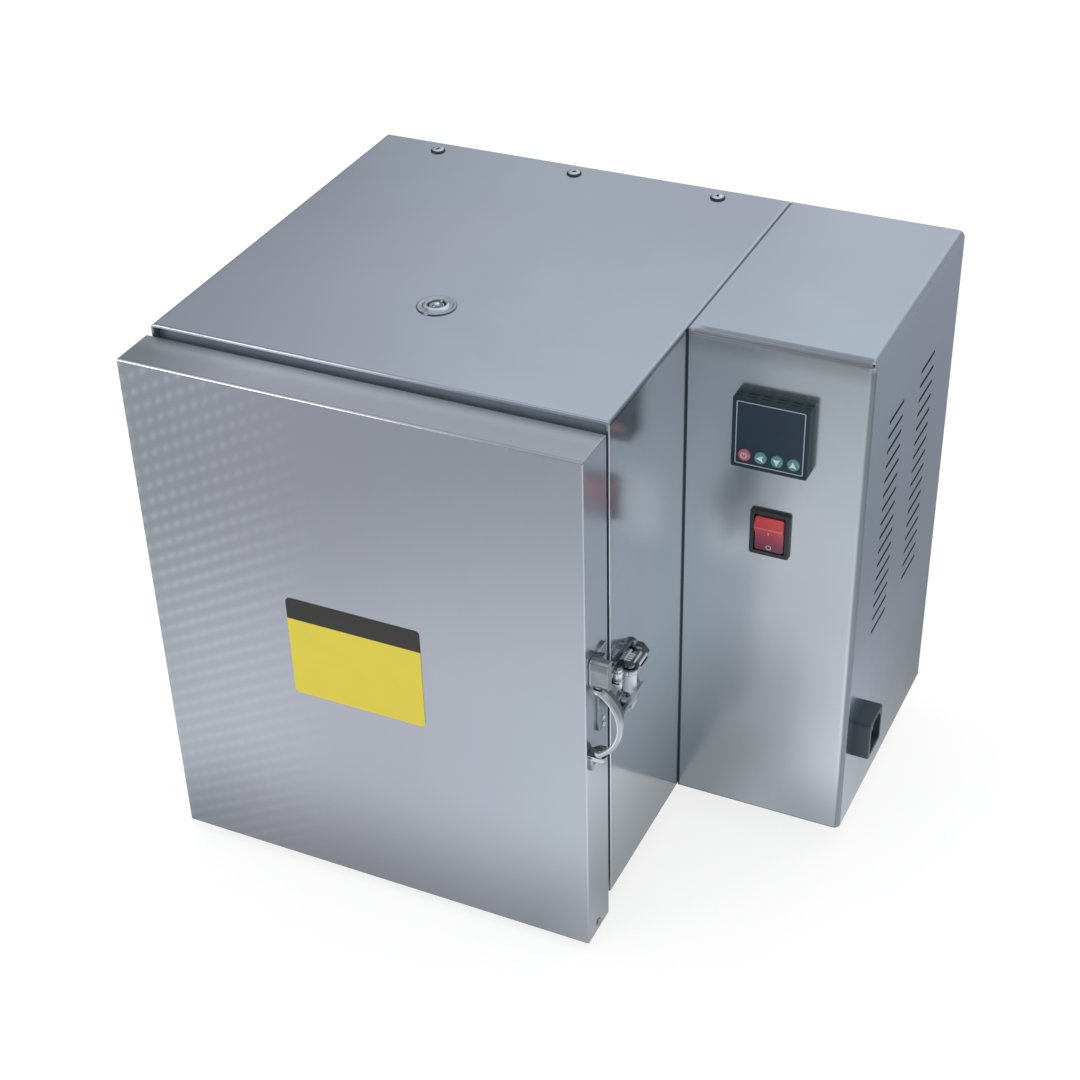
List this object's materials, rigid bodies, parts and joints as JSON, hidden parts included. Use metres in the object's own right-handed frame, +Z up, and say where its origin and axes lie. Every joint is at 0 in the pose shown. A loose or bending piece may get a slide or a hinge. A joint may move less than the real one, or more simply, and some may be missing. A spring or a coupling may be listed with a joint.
{
  "type": "burnout furnace",
  "caption": "Bench burnout furnace: an insulated steel cabinet with a hinged latched door, a roof vent and a side control box with controller, switch and louvres.",
  "frame": {"origin": "on the floor under the middle of the whole furnace's outer box", "axes": "+X towards the control box, the door faces -Y, +Z up"},
  "size_m": [0.4384, 0.3344, 0.3835],
  "materials": {
    "stainless_sheet": "satin stainless",
    "dark_steel": "heat-dulled steel",
    "zinc_sheet": "zinc-plated steel",
    "polished_steel": "polished",
    "fastener_steel": "bright zinc",
    "hinge_steel": "satin",
    "fibre_board": "ceramic fibre",
    "refractory": "cast refractory",
    "heating_alloy": "oxidised alloy",
    "black_plastic": "moulded",
    "dark_face": "gloss",
    "red_rocker": "clear red",
    "red_key": "gloss",
    "green_key": "gloss",
    "rubber_foot": "moulded",
    "brass_pin": "bright",
    "yellow_plate": "plain film",
    "sink_aluminium": "mill"
  },
  "bodies": {
    "cabinet": {"cabinet_wrap": "stainless_sheet", "front_frame": "dark_steel", "back_panel": "zinc_sheet", "base_panel": "zinc_sheet", "feet": "rubber_foot", "top_screws": "fastener_steel", "insulation_left": "fibre_board", "insulation_right": "fibre_board", "insulation_roof": "fibre_board", "insulation_floor": "fibre_board", "insulation_back": "fibre_board", "muffle_side_plates": "refractory", "muffle_roof_floor": "refractory", "muffle_back_plate": "refractory", "heating_elements": "heating_alloy", "hearth_plate": "refractory", "probe_sheath": "heating_alloy", "probe_head": "black_plastic", "vent_bush": "polished_steel", "cabinet_hinge_leaves": "hinge_steel", "hinge_pins": "fastener_steel", "cabinet_hinge_screws": "fastener_steel", "strike_plate": "polished_steel", "strike_axle": "fastener_steel", "strike_screws": "fastener_steel", "control_cover": "stainless_sheet", "control_side": "stainless_sheet", "control_back": "stainless_sheet", "control_base": "zinc_sheet", "controller_case": "black_plastic", "controller_face": "dark_face", "switch_bezel": "black_plastic", "inlet_socket": "black_plastic", "inlet_pins": "brass_pin", "relay_heat_sink": "sink_aluminium", "power_relay": "black_plastic"},
    "door": {"door_skin": "stainless_sheet", "door_liner": "dark_steel", "door_insulation": "fibre_board", "door_plug": "fibre_board", "plug_frame": "dark_steel", "plug_screws": "fastener_steel", "door_screws": "fastener_steel", "label_plate": "yellow_plate", "door_hinge_leaves": "hinge_steel", "door_hinge_screws": "fastener_steel", "latch_base": "polished_steel", "latch_lower_bracket": "polished_steel", "latch_pins": "fastener_steel", "latch_rivets": "fastener_steel", "latch_barrel": "polished_steel"},
    "latch_handle": {"latch_handle": "polished_steel"},
    "strike_roller": {"strike_roller": "polished_steel"},
    "switch_rocker": {"switch_rocker": "red_rocker"},
    "key_set": {"key_set": "red_key"},
    "key_shift": {"key_shift": "green_key"},
    "key_down": {"key_down": "green_key"},
    "key_up": {"key_up": "green_key"},
    "vent_plug": {"vent_plug": "polished_steel"}
  },
  "joints": [
    {"name": "door_hinge", "type": "hinge", "parent": "cabinet", "child": "door", "pos_m": [-0.21425, -0.1338, 0.202], "axis": [0, 0, -1], "range_deg": [0, 110]},
    {"name": "handle_pivot", "type": "hinge", "parent": "door", "child": "latch_handle", "pos_m": [0.09825, -0.1583, 0.189], "axis": [0, 0, -1], "range_deg": [0, 50]},
    {"name": "roller_spin", "type": "hinge", "parent": "cabinet", "child": "strike_roller", "pos_m": [0.10125, -0.1208, 0.1935], "axis": [0, 0, 1], "continuous": true},
    {"name": "power_rocker", "type": "hinge", "parent": "cabinet", "child": "switch_rocker", "pos_m": [0.15105, -0.0148, 0.249], "axis": [-1, 0, 0], "range_deg": [0, 17.9]},
    {"name": "key_set_press", "type": "slide", "parent": "cabinet", "child": "key_set", "axis": [0, 1, 0], "range_m": [0, 0.0006], "stiffness_N_per_m": 400},
    {"name": "key_shift_press", "type": "slide", "parent": "cabinet", "child": "key_shift", "axis": [0, 1, 0], "range_m": [0, 0.0006], "stiffness_N_per_m": 400},
    {"name": "key_down_press", "type": "slide", "parent": "cabinet", "child": "key_down", "axis": [0, 1, 0], "range_m": [0, 0.0006], "stiffness_N_per_m": 400},
    {"name": "key_up_press", "type": "slide", "parent": "cabinet", "child": "key_up", "axis": [0, 1, 0], "range_m": [0, 0.0006], "stiffness_N_per_m": 400},
    {"name": "vent_lift", "type": "slide", "parent": "cabinet", "child": "vent_plug", "axis": [0, 0, 1], "range_m": [0, 0.03]}
  ]
}
